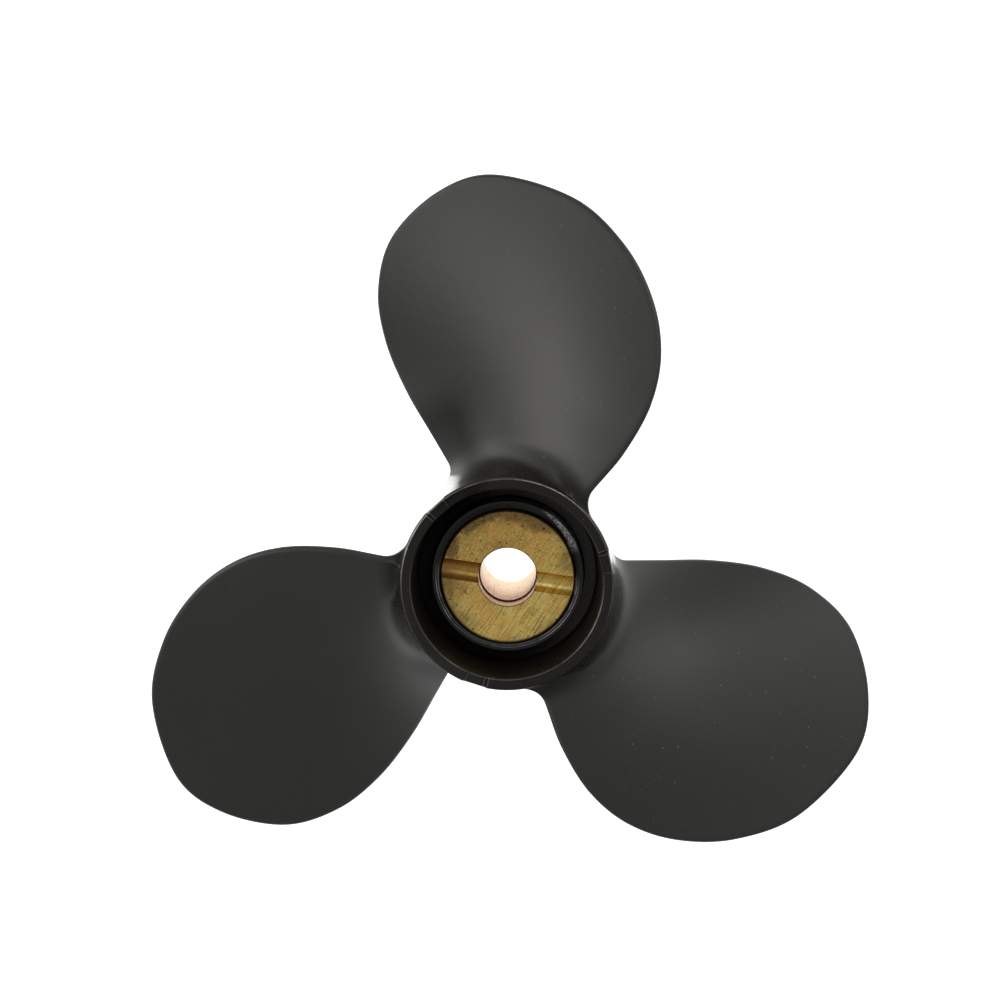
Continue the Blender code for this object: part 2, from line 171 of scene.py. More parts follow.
# Where the finishes change: heights, radii and directions in the model's frame. A pair runs from
# where a tone starts to show to where it covers, or from one end of a band to the other.
RIM_TOP = HUB_FRONT + LIFT
RECESS_BASE = RECESS_FLOOR + LIFT
DAMPER_TOP = DAMPER_FRONT + LIFT
BUSH_TOP = BUSH_FRONT + LIFT
BORE_STEP = MOUTH_FLOOR + LIFT
HUB_PAINT = (31 * MM, 26.8 * MM)
RECESS_PAINT = (22.9 * MM, RECESS_MOUTH_RADIUS)
WALL_INSIDE_FILLETS = (26.1 * MM, 25.6 * MM)
GAP_ANGLE = math.radians(62.6)  # from a blade's line to the middle of the gap behind it
ROOT_SHADE = (math.radians(13), math.radians(29))  # past a blade's line
CHIPPED_STRETCH = (math.radians(109), math.radians(123))
CHIPPED_EDGE = (22.6 * MM, 23.2 * MM)
# Painted highlights along the rim's rounded edges; the lines at the lands below are worn bare
# metal.
LIT_RIM_OUTER_LINE = (24.84 * MM, 25.06 * MM)
LIT_RIM_INNER_LINE = (22.72 * MM, 22.90 * MM)
RUBBED_LAND = (22.9 * MM, 25.1 * MM)
RUBBED_LINE_START = math.radians(0.35)  # past each groove at a land's ends
RUBBED_LINE_WIDTH = math.radians(0.4)
# Crests of the lips, which carry painted highlights.
LIP_CRESTS = ((16.61 * MM, 16.72 * MM), (17.13 * MM, 17.25 * MM))
LIPS = (16.5 * MM, 17.4 * MM)
# Painted shade on the rubber next to the gap round the bush.
DAMPER_GROOVE_SHADE = (16.42 * MM, 16.26 * MM)
# A rough stretch of the damper whose specks are painted near white as a speckled highlight.
SPECKLED_PATCH_STRETCH = (math.radians(38), math.radians(60))
SPECKLED_PATCH_DRIFT = 2.3 * MM  # its inner edge moves out by this much to a radian
SPECKLED_PATCH_EDGE = (16.1 * MM, 16.5 * MM)
SHADED_BUSH_EDGE_BAND = (15.0 * MM, 15.7 * MM)
BORE_WALL = (7.15 * MM, 7.05 * MM)
BORE_LINE = (7.08 * MM, 7.20 * MM)
LINE_SOFTNESS = 0.06 * MM
LIT_FLOOR = (170 * MM, 400 * MM)

# Camera in the picture frame: turn of the model, tilts, distance and aim
PICTURE_TURN = math.radians(-8.366)
CAMERA_TILT = math.radians(7.163)
CAMERA_LEAN = math.radians(-1.102)
CAMERA_DISTANCE = 1.0
CAMERA_ASIDE = (-1.9291 * MM, 17.5795 * MM)
CAMERA_LENS = 150.32
CAMERA_NEAR = 0.05
CAMERA_FAR = 20
SENSOR = 36

# Light and floor
LAMP_COLOUR = (1.0, 0.985, 0.93)
LAMP_DISTANCE = 1.3
PANELS = (  # name, azimuth and elevation in degrees, width, height, brightness
    ("panel_left_low", 159, 25, 0.50, 0.54, 3.9),
    ("panel_left_high", 172, 46, 0.46, 0.42, 3.6),
    ("panel_right", 46, 28, 0.50, 0.38, 3.4),
    ("panel_right_high", 64, 56, 0.38, 0.38, 2.8),
    ("panel_far", 95, 9, 0.70, 0.24, 1.2),
    ("panel_near_high", -152, 57, 0.42, 0.42, 2.0),
)
SURROUNDINGS_BRIGHTNESS = 0.25
FLOOR_GLOW = 1.15
FLOOR_HALF_WIDTH = 3

Spot = namedtuple("Spot", "x y z radius around")


class Wire:
    """A socket in a node tree. Arithmetic on it adds Math nodes."""

    def __init__(self, bench, socket):
        self.bench = bench
        self.socket = socket

    def __add__(self, other):
        return self.bench.math("ADD", self, other)

    def __radd__(self, other):
        return self.bench.math("ADD", other, self)

    def __sub__(self, other):
        return self.bench.math("SUBTRACT", self, other)

    def __rsub__(self, other):
        return self.bench.math("SUBTRACT", other, self)

    def __mul__(self, other):
        return self.bench.math("MULTIPLY", self, other)

    def __rmul__(self, other):
        return self.bench.math("MULTIPLY", other, self)

    def __truediv__(self, other):
        return self.bench.math("DIVIDE", self, other)

    def __rtruediv__(self, other):
        return self.bench.math("DIVIDE", other, self)

    def __pow__(self, other):
        return self.bench.math("POWER", self, other)

    def __rpow__(self, other):
        return self.bench.math("POWER", other, self)


class Bench:
    """Adds nodes to one tree, for shaders and for geometry."""

    def __init__(self, tree):
        self.tree = tree

    def feed(self, node, sockets):
        """Sets a node's sockets to plain values, or links them to wires."""
        for name, value in sockets.items():
            if isinstance(value, Wire):
                self.tree.links.new(value.socket, node.inputs[name])
            else:
                node.inputs[name].default_value = value

    def node(self, kind, settings=None, sockets=None):
        """A node of this type: its settings first, then its sockets' values or links."""
        made = self.tree.nodes.new(kind)
        for name, value in (settings or {}).items():
            setattr(made, name, value)
        self.feed(made, sockets or {})
        return made

    def wire(self, kind, settings=None, sockets=None, output=0):
        return Wire(self, self.node(kind, settings, sockets).outputs[output])

    def math(self, operation, *values):
        return self.wire("ShaderNodeMath", {"operation": operation}, dict(enumerate(values)))

    def between(self, value, low, high, to_low=0.0, to_high=1.0):
        """Smooth share of the way from low to high."""
        sockets = {"Value": value, 1: low, 2: high, 3: to_low, 4: to_high}
        return self.wire("ShaderNodeMapRange", {"interpolation_type": "SMOOTHSTEP"}, sockets)

    def band(self, value, start, end, soft):
        """One between start and end, fading to nothing within the soft distance outside them."""
        risen = self.between(value, start - soft, start)
        return risen * self.between(value, end + soft, end)

    def mix(self, share, first, second):
        """From one colour to the other."""
        first, second = ((*c, 1) if isinstance(c, tuple) else c for c in (first, second))
        sockets = {0: share, 6: first, 7: second}
        return self.wire("ShaderNodeMix", {"data_type": "RGBA"}, sockets, output=2)

    def layers(self, base, *coats):
        """A colour with coats laid over it in turn, each given as its share and its colour."""
        for share, colour in coats:
            base = self.mix(share, base, colour)
        return base

    def noise(self, place, scale, detail=2.0, roughness=0.5):
        """Smooth noise with about this many bumps to a metre."""
        sockets = {"Vector": place, "Scale": scale, "Detail": detail, "Roughness": roughness}
        return self.wire("ShaderNodeTexNoise", None, sockets)

    def dots(self, place, scale, size, share):
        """Specks seen along the shaft, in this share of the cells, so many cells to a metre."""
        flat = {"voronoi_dimensions": "2D"}
        cells = self.node("ShaderNodeTexVoronoi", flat, {"Vector": place, "Scale": scale})
        chance = {"Color": Wire(self, cells.outputs["Color"])}
        split = self.node("ShaderNodeSeparateColor", None, chance)
        chosen = self.math("LESS_THAN", Wire(self, split.outputs[0]), share)
        reach = (0.4 + Wire(self, split.outputs[1])) * (size * scale)
        near = self.between(Wire(self, cells.outputs["Distance"]) / reach, 1.0, 0.55)
        return chosen * near

    def bump(self, height, distance, strength=1.0, under=None):
        sockets = {"Height": height, "Distance": distance, "Strength": strength}
        if under:
            sockets["Normal"] = under
        return self.wire("ShaderNodeBump", None, sockets)


# Finishes
def finish(name):
    """A new material, the bench for its tree, its shader and the place on the piece."""
    made = bpy.data.materials.new(name)
    made.use_nodes = True
    bench = Bench(made.node_tree)
    shader = made.node_tree.nodes["Principled BSDF"]
    place = bench.wire("ShaderNodeTexCoord", output="Object")
    return made, bench, shader, place


def split_place(bench, place):
    """X, Y, height, radius and direction of a place, in the model's frame."""
    parts = bench.node("ShaderNodeSeparateXYZ", None, {0: place})
    x, y, z = (Wire(bench, parts.outputs[i]) for i in range(3))
    return Spot(x, y, z, bench.math("SQRT", x * x + y * y), bench.math("ARCTAN2", y, x))


def past_nearest(bench, around, first_line):
    """How far a direction lies past the nearest of a line and its turns from blade to blade."""
    return bench.math("WRAP", around - first_line, math.pi / BLADES, -math.pi / BLADES)


def glossy_wall(bench, at):
    """The hub's outer wall in the gaps between the blades."""
    below_rim = bench.between(at.z, RIM_TOP - 0.4 * MM, RIM_TOP - 1.0 * MM)
    in_gap = bench.math("COSINE", (at.around - (BLADE_LINE + GAP_ANGLE)) * BLADES)
    wall = below_rim * bench.between(at.radius, *WALL_INSIDE_FILLETS)
    return wall * bench.between(in_gap, 0.02, 0.45)


def trailing_roots(bench, at):
    """Painted shade on the trailing side of the blades' roots towards -X, further out on the first
    blade.
    """
    behind = bench.between(past_nearest(bench, at.around, BLADE_LINE), *ROOT_SHADE)
    near = bench.band(at.radius, 26 * MM, 30 * MM, 7 * MM)
    far = bench.band(at.radius, 26 * MM, 38 * MM, 14 * MM)
    far = far * bench.between(at.y, 8 * MM, 24 * MM)
    return behind * bench.math("MAXIMUM", near, far) * bench.between(at.x, 6 * MM, -8 * MM)


def highlit_and_worn_rim(bench, place, at):
    """Bare-metal colour: painted highlights on the rim's outer edge towards +Y and its inner edge
    towards -Y, where light from +Y catches them, and worn lines at the lands' ends.
    """
    upper = bench.between(at.y, -9 * MM, 5 * MM)
    lower = bench.between(at.y, 5 * MM, -4 * MM, 0.0, 0.5)
    rim_highlight_and_wear = bench.band(at.radius, *LIT_RIM_OUTER_LINE, LINE_SOFTNESS) * upper
    rim_highlight_and_wear = rim_highlight_and_wear + bench.band(at.radius, *LIT_RIM_INNER_LINE, LINE_SOFTNESS) * lower
    past_land = past_nearest(bench, at.around, BLADE_LINE + LAND_ANGLE)
    across = bench.band(at.radius, *RUBBED_LAND, 0.2 * MM)
    for groove in GROOVE_OFFSETS:
        start = groove + RUBBED_LINE_START
        line = bench.band(past_land, start, start + RUBBED_LINE_WIDTH, RUBBED_LINE_WIDTH / 2)
        rim_highlight_and_wear = rim_highlight_and_wear + line * across * 0.55
    patchy = bench.between(bench.noise(place, 260, 3.0, 0.6), 0.30, 0.60, 0.35, 0.9)
    return rim_highlight_and_wear * bench.between(at.z, RIM_TOP - 0.6 * MM, RIM_TOP - 0.4 * MM) * patchy


def chipped_mouth(bench, place, at):
    """A few chips at the mouth of the recess, beside the first blade's root."""
    chips = bench.band(at.around, *CHIPPED_STRETCH, math.radians(4))
    chips = chips * bench.band(at.radius, *CHIPPED_EDGE, 0.5 * MM)
    chips = chips * bench.between(bench.noise(place, 800, 3.0, 0.6), 0.46, 0.53)
    return chips * bench.between(at.z, RIM_TOP - 1.2 * MM, RIM_TOP - 0.8 * MM)


def recess_grime(bench, place, at):
    """Brown grime in clusters down the wall of the recess, most of it near the mouth."""
    grime = bench.between(bench.noise(place, 1500, 4.0, 0.7), 0.57, 0.68)
    grime = grime * bench.between(at.z, RIM_TOP - 16 * MM, RIM_TOP - 3 * MM)
    return grime * bench.between(bench.noise(place, 110, 2.0, 0.5), 0.44, 0.60)


def pale_specks(bench, place, at):
    """Specks of dust, most of them towards +X."""
    specks = bench.dots(place, 260, 0.18 * MM, 0.20)
    specks = specks + bench.dots(place, 700, 0.10 * MM, 0.22) * 0.6
    dusty_side = bench.between(at.x, -30 * MM, 40 * MM, 0.25, 1.0)
    return bench.math("MINIMUM", specks * dusty_side, 1.0)


def satin_black_paint():
    """Satin and dusty on the blades, darker on the hub, with grime inside. Painted shade darkens
    the trailing roots, the first blade's outer part and the recess floor towards -X; painted light
    lifts that floor towards +X; painted highlights make bare-metal lines on the rim's edges,
    beside worn lines at the lands.
    """
    made, bench, shader, place = finish("satin_black_paint")
    at = split_place(bench, place)
    peel = bench.noise(place, 620, 3.0, 0.55)
    grain = bench.noise(place, 2400, 2.0, 0.6)
    cloud = bench.noise(place, 38, 4.0, 0.6)
    mottle = bench.between(grain, 0.35, 0.75)
    heights = bench.wire("ShaderNodeCombineXYZ", None, {2: at.z})
    turning_marks = bench.noise(heights, 1100, 2.0, 0.6)

    on_hub = bench.between(at.radius, *HUB_PAINT)
    in_recess = bench.between(at.radius, *RECESS_PAINT)
    on_wall = glossy_wall(bench, at) * (1 - in_recess)
    # Painted shade at the trailing roots: a darker colour, and a dark metallic share that also
    # darkens their reflection.
    painted_root_shade = trailing_roots(bench, at)
    root_shade_reflection = painted_root_shade * (1 - on_wall) * bench.between(at.y, 6 * MM, 18 * MM)
    rim_highlight_and_wear = highlit_and_worn_rim(bench, place, at)
    chips = chipped_mouth(bench, place, at)
    grime = recess_grime(bench, place, at) * in_recess
    specks = pale_specks(bench, place, at) * (1 - on_wall) * (1 - in_recess)
    # The recess floor is painted lighter towards +X and +Y and darker towards -X and -Y: painted
    # light and painted shade.
    on_floor = bench.between(at.z, RECESS_BASE + 0.8 * MM, RECESS_BASE + 0.4 * MM) * in_recess
    painted_floor_light = on_floor * bench.between(at.x + at.y, 2 * MM, 20 * MM)
    painted_floor_shade = on_floor * bench.between(at.x + at.y * 0.5, 18 * MM, -6 * MM)
    # Painted shade: the paint is darker towards +Y and -X, far out over the first blade.
    first_blade_shade = bench.between(at.y - at.x * 0.5, 30 * MM, 85 * MM)

    colour = bench.layers(
        bench.mix(cloud, (0.030, 0.0297, 0.0276), (0.038, 0.0375, 0.0345)),
        (first_blade_shade * 0.36, (0.014, 0.0138, 0.0134)),
        (painted_root_shade * 0.8, (0.0060, 0.0060, 0.0062)),
        (mottle * 0.25, (0.052, 0.051, 0.047)),
        (on_hub, (0.0080, 0.0068, 0.0058)),
        (in_recess, (0.0180, 0.0135, 0.0105)),
        (specks * (0.7 - on_hub * 0.3), (0.20, 0.19, 0.17)),
        (grime, (0.070, 0.042, 0.030)),
        (rim_highlight_and_wear, (0.22, 0.215, 0.205)),
        (chips * 0.9, (0.0040, 0.0018, 0.0018)),
        (painted_floor_shade * 0.8, (0.0030, 0.0020, 0.0015)),
        (painted_floor_light * 0.8, (0.075, 0.062, 0.050)),
    )
    rough = 0.34 + cloud * 0.08 + mottle * 0.04 + specks * 0.25 + grime * 0.3
    rough = rough - on_hub * 0.12 + painted_root_shade * 0.2 + painted_floor_shade * 0.5 + chips * 0.4
    relief = bench.bump(grain * (1 - on_wall), 0.02 * MM, 0.35)
    relief = bench.bump(turning_marks * in_recess, 0.06 * MM, 0.6, relief)
    relief = bench.bump((peel + specks * 0.5) * (1 - on_wall) + grime, 0.03 * MM, 0.5, relief)
    sockets = {
        "Base Color": colour,
        "Metallic": rim_highlight_and_wear * 0.9 + root_shade_reflection * 0.75,
        "Roughness": rough,
        "Coat Weight": on_wall,
        "Coat Roughness": 0.16,
        "Normal": relief,
    }
    bench.feed(shader, sockets)
    return made


def lip_highlights(bench, place, at, lower):
    """Painted highlights: bright lines on the crests of the damper's lips, most on the lower
    half's two sides, where light from +Y catches them.
    """
    lip_highlight = sum(bench.band(at.radius, *crest, LINE_SOFTNESS) for crest in LIP_CRESTS)
    lip_highlight = lip_highlight * bench.between(at.z, DAMPER_TOP - 0.7 * MM, DAMPER_TOP - 0.6 * MM)
    sideways = bench.between(at.x * at.x, (7 * MM) ** 2, (14 * MM) ** 2, 0.30, 1.0)
    patchy = bench.between(bench.noise(place, 300, 3.0, 0.6), 0.34, 0.56, 0.35, 1.0)
    return lip_highlight * (0.06 + lower * sideways) * patchy


def speckled_patch_highlight(bench, place, at):
    """A rough, crumbly stretch of the damper, its specks painted near white as a speckled
    highlight: from the inner lip out at its start, outside both at its end.
    """
    start, end = SPECKLED_PATCH_STRETCH
    rough_patch_highlight = bench.band(at.around, start, end, math.radians(13))
    rough_patch_highlight = rough_patch_highlight * bench.between(at.radius - (at.around - start) * SPECKLED_PATCH_DRIFT, *SPECKLED_PATCH_EDGE)
    return rough_patch_highlight * bench.between(bench.noise(place, 420, 2.0, 0.5), 0.26, 0.54)


def black_rubber():
    """Smooth and black, with one rough, crumbly stretch carrying a painted speckled highlight,
    painted highlights on the lip crests and painted shade next to the bush.
    """
    made, bench, shader, place = finish("black_rubber")
    at = split_place(bench, place)
    grain = bench.noise(place, 1900, 3.0, 0.6)
    cloud = bench.noise(place, 160, 3.0, 0.6)
    crumbs = bench.between(bench.noise(place, 3000, 3.0, 0.7), 0.43, 0.57, 0.12, 1.0)

    lower = bench.between(at.y, 2 * MM, -8 * MM)
    lip_highlight = lip_highlights(bench, place, at, lower)
    upper_lips = bench.band(at.radius, *LIPS, 0.10 * MM) * (1 - lower)
    # Painted shade: the rubber next to the gap round the bush is painted near black.
    in_groove = bench.between(at.radius, *DAMPER_GROOVE_SHADE)
    rough_patch_highlight = speckled_patch_highlight(bench, place, at)
    colour = bench.layers(
        bench.mix(cloud * 0.5, (0.0140, 0.0125, 0.0112), (0.022, 0.0195, 0.0175)),
        (in_groove, (0.0045, 0.0036, 0.0030)),
        (rough_patch_highlight * crumbs, (0.94, 0.94, 0.97)),
        (lip_highlight, (0.95, 0.92, 0.88)),
    )
    sockets = {
        "Base Color": colour,
        "Metallic": lip_highlight * 0.8,
        "Roughness": 0.20 + cloud * 0.10 + rough_patch_highlight * 0.35 + in_groove * 0.45 + upper_lips * 0.5,
        "Normal": bench.bump(crumbs * rough_patch_highlight, 0.15 * MM, 0.9, bench.bump(grain, 0.02 * MM, 0.4)),
    }
    bench.feed(shader, sockets)
    return made


def strokes(bench, place, turn, length, width):
    """Noise drawn out into strokes that run in one direction across the shaft."""
    sockets = {
        "Vector": place,
        "Rotation": (0, 0, math.radians(turn)),
        "Scale": (length, width, 1),
    }
    drawn_out = bench.wire("ShaderNodeMapping", {"vector_type": "TEXTURE"}, sockets)
    return bench.noise(drawn_out, 1.0, 2.0, 0.6)


def worn_brass():
    """A filed and tarnished face with pits, painted lighter towards +X and -Y, with painted shade
    in the slot and along the face's edge towards -Y, and a coppery bore painted pale towards its
    far end as painted light.
    """
    made, bench, shader, place = finish("worn_brass")
    at = split_place(bench, place)

    filed = strokes(bench, place, 64, 8.5 * MM, 0.44 * MM)
    fine_marks = strokes(bench, place, 54, 5.0 * MM, 0.34 * MM)
    cross_marks = strokes(bench, place, -28, 7.0 * MM, 0.36 * MM)
    scratches = filed * 0.6 + fine_marks * 0.25 + cross_marks * 0.15
    # Painted light: the brass is painted lighter towards +X and -Y; its filing marks are also
    # stronger there.
    filed_and_lit_side = bench.between(at.x * 0.7 - at.y, -10 * MM, 12 * MM)
    marks = bench.between(scratches, 0.48, 0.58) * (0.25 + filed_and_lit_side * 0.75)
    gouges = bench.between(scratches, 0.48, 0.40) * (0.2 + filed_and_lit_side * 0.5)

    cloud = bench.noise(place, 150, 4.0, 0.6)
    spots = bench.noise(place, 820, 3.0, 0.7)
    grain = bench.noise(place, 2300, 3.0, 0.7)
    near_rim = bench.between(at.radius, 10.5 * MM, BUSH_HEAD_RADIUS)
    upper = bench.between(at.y - at.x * 0.2, -4 * MM, 12 * MM)
    pits = bench.dots(place, 620, 0.26 * MM, 0.34) + bench.dots(place, 1400, 0.12 * MM, 0.34) * 0.8
    pits = bench.math("MINIMUM", pits * (0.40 + near_rim * 0.5 + upper * 0.3), 1.0)
    tarnish = bench.between(cloud + near_rim * (0.08 + upper * 0.16) + spots * 0.15, 0.58, 0.80)
    tarnish = tarnish * (1 - filed_and_lit_side * 0.5)
    speckle = bench.between(grain, 0.50, 0.58) * bench.between(cloud, 0.40, 0.52)
    speckle = speckle * bench.between(at.radius, 11.2 * MM, 15 * MM) * (0.35 + upper * 0.65)
    orange = bench.between(bench.noise(place, 125, 3.0, 0.6), 0.48, 0.64)
    dull = bench.between(grain, 0.58, 0.42) * (0.5 - filed_and_lit_side * 0.3)
    sparkle = bench.between(grain, 0.57, 0.66) * (0.3 + near_rim * 0.4)

    in_slot = bench.between(at.z, BUSH_TOP - 0.1 * MM, BUSH_TOP - 0.8 * MM)
    # Painted shade: the slot is painted browner, most towards -X.
    slot_shade = in_slot * bench.between(at.x, -4 * MM, 4 * MM, 0.6, 0.1)
    mouth_line = bench.band(at.radius, *BORE_LINE, LINE_SOFTNESS) * (1 - in_slot)
    # Painted shade along the face's edge towards -Y.
    shaded_bush_edge = bench.between(at.radius, *SHADED_BUSH_EDGE_BAND)
    shaded_bush_edge = shaded_bush_edge * bench.between(at.y, 1 * MM, -7 * MM)
    in_bore = bench.between(at.radius, *BORE_WALL)
    at_step = bench.band(at.z, BORE_STEP - 0.2 * MM, BORE_STEP + 0.5 * MM, 0.5 * MM) * in_bore
    # Painted light: the bore wall is painted pale towards its far end, next to the glowing floor,
    # and dark brown near the mouth.
    far_end = bench.between(at.z, BUSH_TOP - 9 * MM, BUSH_TOP - 30 * MM)
    bore = bench.layers(
        bench.mix(far_end, (0.20, 0.085, 0.035), (0.90, 0.84, 0.76)),
        (bench.between(spots, 0.47, 0.60) * 0.6, (0.44, 0.32, 0.23)),
    )
    colour = bench.layers(
        bench.mix(filed_and_lit_side * 0.8, (0.80, 0.525, 0.130), (1.0, 0.72, 0.185)),
        (marks, (1.0, 0.86, 0.33)),
        (gouges, (0.32, 0.165, 0.038)),
        (dull, (0.40, 0.235, 0.066)),
        (sparkle, (1.0, 0.88, 0.48)),
        (orange * 0.38, (0.94, 0.49, 0.12)),
        (tarnish * 0.65, (0.23, 0.145, 0.068)),
        (speckle * 0.8, (0.115, 0.070, 0.036)),
        (bench.between(spots, 0.58, 0.72) * 0.55, (0.20, 0.12, 0.050)),
        (pits * 0.85, (0.045, 0.028, 0.013)),
        (slot_shade, (0.40, 0.22, 0.06)),
        (mouth_line * 0.7, (0.06, 0.035, 0.02)),
        (shaded_bush_edge * 0.8, (0.060, 0.036, 0.018)),
        (in_bore, bore),
        (at_step * 0.85, (0.150, 0.060, 0.026)),
    )
    rough = 0.40 + cloud * 0.14 + tarnish * 0.14 + pits * 0.2 - in_bore * 0.14 - in_slot * 0.08
    relief = bench.bump(scratches, 0.03 * MM, 0.7)
    sockets = {
        "Base Color": colour,
        "Metallic": 0.78 + in_slot * 0.14 + in_bore * 0.04 - at_step * 0.6,
        "Roughness": rough + at_step * 0.6,
        "Specular Tint": (0.86, 0.68, 0.54, 1),
        "Normal": bench.bump(spots + grain * 0.6 - pits * 0.8, 0.05 * MM, 0.6, relief),
    }
    bench.feed(shader, sockets)
    return made


def pale_floor():
    """White and lit from below round the propeller, plain pale further out."""
    made, bench, shader, place = finish("pale_floor")
    outer = bench.between(split_place(bench, place).radius, *LIT_FLOOR)
    sockets = {
        "Base Color": bench.mix(outer, (0.9, 0.9, 0.9), (0.65, 0.65, 0.65)),
        "Roughness": 0.9,
        "Emission Color": bench.mix(outer, (1.0, 1.0, 1.0), (0.04, 0.04, 0.04)),
        "Emission Strength": FLOOR_GLOW,
    }
    bench.feed(shader, sockets)
    return made


# Turned pieces
def arc(centre, radius, start, end, steps=ROUNDING_STEPS):
    points = []
    for i in range(steps + 1):
        angle = math.radians(start + (end - start) * i / steps)
        points.append((centre[0] + radius * math.cos(angle), centre[1] + radius * math.sin(angle)))
    return points


def with_holds(profile):
    """The closed profile with a point a hair inside both ends of every long stretch."""
    points = []
    for start, end in zip(profile, profile[1:] + profile[:1]):
        points.append(start)
        length = math.dist(start, end)
        if length > LONG_STRETCH:
            for share in (HOLD / length, 1 - HOLD / length):
                points.append(tuple(a + (b - a) * share for a, b in zip(start, end)))
    return points


def ring(profile, angles, shape=None):
    """A closed profile of (radius, height) carried round the shaft axis."""
    work = bmesh.new()
    rows = []
    for angle in angles:
        row = []
        for radius, height in profile:
            if shape:
                radius, height = shape(radius, height, angle)
            spot = (radius * math.cos(angle), radius * math.sin(angle), height + LIFT)
            row.append(work.verts.new(spot))
        rows.append(row)
    count = len(profile)
    for first, second in zip(rows, rows[1:] + rows[:1]):
        for i in range(count):
            j = (i + 1) % count
            work.faces.new((first[i], second[i], second[j], first[j]))
    return work


def even_angles(sides):
    return [math.tau * i / sides for i in range(sides)]


def piece_from(name, work, material):
    """Weld a bmesh, point its faces outwards and put it into the scene as a piece."""
    bmesh.ops.remove_doubles(work, verts=work.verts, dist=WELD_DISTANCE)
    bmesh.ops.recalc_face_normals(work, faces=work.faces)
    mesh = bpy.data.meshes.new(name)
    work.to_mesh(mesh)
    work.free()
    mesh.shade_smooth()
    mesh.set_sharp_from_angle(angle=SHARP_ANGLE)
    mesh.materials.clear()
    mesh.materials.append(material)
    piece = bpy.data.objects.new(name, mesh)
    bpy.context.scene.collection.objects.link(piece)
    return piece


# Hub
def hub_radius(height):
    share = (height - HUB_REAR) / (HUB_FRONT - HUB_REAR)
    return HUB_REAR_RADIUS + (HUB_FRONT_RADIUS - HUB_REAR_RADIUS) * share


def hub_profile():
    """Once round the hub's wall: up the outside, down the recess and the bore."""
    rim = HUB_FRONT - RIM_ROUNDING
    mouth = HUB_FRONT - MOUTH_ROUNDING
    tail = HUB_REAR + REAR_ROUNDING
    land_foot = HUB_FRONT - LAND_LENGTH
    lip_top = HUB_REAR + REAR_LIP
    cove = (RECESS_FLOOR_RADIUS - RECESS_COVE, RECESS_FLOOR + RECESS_COVE)
    return with_holds(
        arc((hub_radius(tail) - REAR_ROUNDING, tail), REAR_ROUNDING, -90, 0)
        + [(hub_radius(land_foot - HOLD), land_foot - HOLD), (hub_radius(land_foot), land_foot)]
        + arc((hub_radius(rim) - RIM_ROUNDING, rim), RIM_ROUNDING, 0, 90)
        + arc((RECESS_MOUTH_RADIUS + MOUTH_ROUNDING, mouth), MOUTH_ROUNDING, 90, 180)
        + arc(cove, RECESS_COVE, 0, -90)
        + [
            (DAMPER_BORE_RADIUS, RECESS_FLOOR),
            (DAMPER_BORE_RADIUS, lip_top),
            (REAR_LIP_RADIUS, lip_top),
            (REAR_LIP_RADIUS, HUB_REAR),
        ]
    )


def hub_angles():
    """Even columns, with narrow ones at the ends of the lands and at their grooves."""
    extra = []
    for middle in LAND_MIDDLES:
        extra += [middle + end + step for end in GROOVE_OFFSETS for step in GROOVE_EDGES]
    extra = [angle % math.tau for angle in extra]
    kept = [a for a in even_angles(HUB_SIDES) if min(abs(a - e) for e in extra) > LAND_STEP]
    return sorted(kept + extra)


def rim_with_lands(radius, height, angle):
    """Flattens the rim by a hair on the three lands, and cuts their fine grooves."""
    foot = HUB_FRONT - LAND_LENGTH + 2 * HOLD
    if height < foot or radius < RECESS_MOUTH_RADIUS - HOLD:
        return radius, height
    on_outside = radius > HUB_FRONT_RADIUS - 1.5 * RIM_ROUNDING
    mouth_end = RECESS_MOUTH_RADIUS + MOUTH_ROUNDING + HOLD / 2
    at_mouth = height > HUB_FRONT - MOUTH_ROUNDING - HOLD and radius < mouth_end
    near_top = HUB_FRONT - RIM_ROUNDING + 2 * HOLD
    for middle in LAND_MIDDLES:
        off = (angle - middle + math.pi) % math.tau - math.pi
        if abs(off) > LAND_HALF + LAND_STEP:
            continue
        in_groove = any(abs(off - end) < GROOVE_EDGES[2] + SMALL_ANGLE for end in GROOVE_OFFSETS)
        if on_outside:
            chord = HUB_FRONT_RADIUS * math.cos(LAND_HALF) / math.cos(off) - LAND_DEPTH
            radius -= HUB_FRONT_RADIUS - chord
        elif at_mouth:
            radius += (RECESS_MOUTH_RADIUS - radius) * (1 - LAND_MOUTH_SHARPNESS)
            height += (HUB_FRONT - height) * (1 - LAND_MOUTH_SHARPNESS)
        if height > near_top:
            height -= GROOVE_DEPTH if in_groove else LAND_DEPTH / 2
        break
    return radius, height


# Blades
def polar(radius, angle):
    return Vector((radius * math.cos(angle), radius * math.sin(angle)))


def distance_from_shaft(point):
    return point.length


def direction(point):
    return math.atan2(point.y, point.x)


def hub_clearance(point):
    return point.length - hub_radius(HELIX_RISE * direction(point))


def edge_curve():
    """The blade's edge as a smooth curve through its points, in the plane across the shaft."""
    points = [polar(radius * MM, math.radians(angle)) for radius, angle in BLADE_EDGE]
    curve = []
    for before, start, end, after in zip(points, points[1:], points[2:], points[3:]):
        pull_start = (end - before) / 2
        pull_end = (after - start) / 2
        for i in range(EDGE_SAMPLES):
            t = i / EDGE_SAMPLES
            curve.append(
                start * (2 * t**3 - 3 * t**2 + 1)
                + pull_start * (t**3 - 2 * t**2 + t)
                + end * (3 * t**2 - 2 * t**3)
                + pull_end * (t**3 - t**2)
            )
    curve.append(points[-2])
    return curve


EDGE = edge_curve()
TIP_INDEX = max(range(len(EDGE)), key=lambda i: EDGE[i].length)
LEADING_EDGE = EDGE[: TIP_INDEX + 1]
TRAILING_EDGE = EDGE[TIP_INDEX:]


